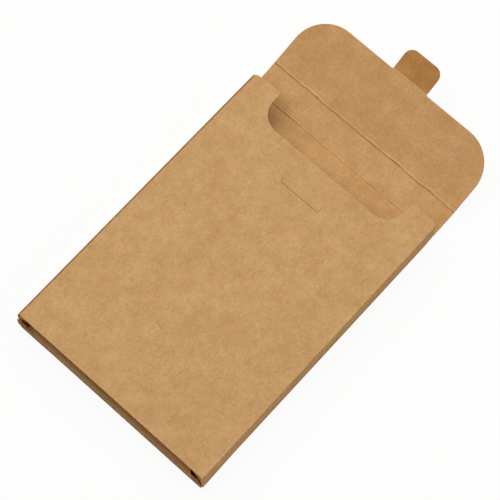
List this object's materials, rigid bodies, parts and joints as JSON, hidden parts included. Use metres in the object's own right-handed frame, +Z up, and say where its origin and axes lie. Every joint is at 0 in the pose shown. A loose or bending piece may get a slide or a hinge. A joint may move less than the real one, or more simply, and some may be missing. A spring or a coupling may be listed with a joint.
{
  "type": "paper envelope",
  "caption": "Flat box-like kraft card envelope with a thumb-cut mouth, a creased mouth wall, a round-cornered closing flap and a lock tab that tucks into a slit.",
  "frame": {"origin": "centre of the back panel's underside, which the envelope lies on", "axes": "+X across the envelope, +Y from the closed end to the mouth, +Z up from the back panel to the front panel"},
  "size_m": [0.11, 0.2137, 0.0204],
  "materials": {
    "kraft_card": "matte uncoated kraft"
  },
  "bodies": {
    "body": {"envelope_body": "kraft_card"},
    "wall": {"mouth_wall": "kraft_card"},
    "flap": {"closing_flap": "kraft_card"},
    "tab": {"lock_tab": "kraft_card"}
  },
  "joints": [
    {"name": "wall_crease", "type": "hinge", "parent": "body", "child": "wall", "pos_m": [0, 0.0776, 0.00045], "axis": [1, 0, 0], "range_deg": [-13, 69]},
    {"name": "flap_crease", "type": "hinge", "parent": "wall", "child": "flap", "pos_m": [0, 0.09221, 0.00382], "axis": [1, 0, 0], "range_deg": [-5, 93]},
    {"name": "tab_crease", "type": "hinge", "parent": "flap", "child": "tab", "pos_m": [0, 0.1236, 0.01402], "axis": [1, 0, 0], "range_deg": [-12, 78]}
  ]
}
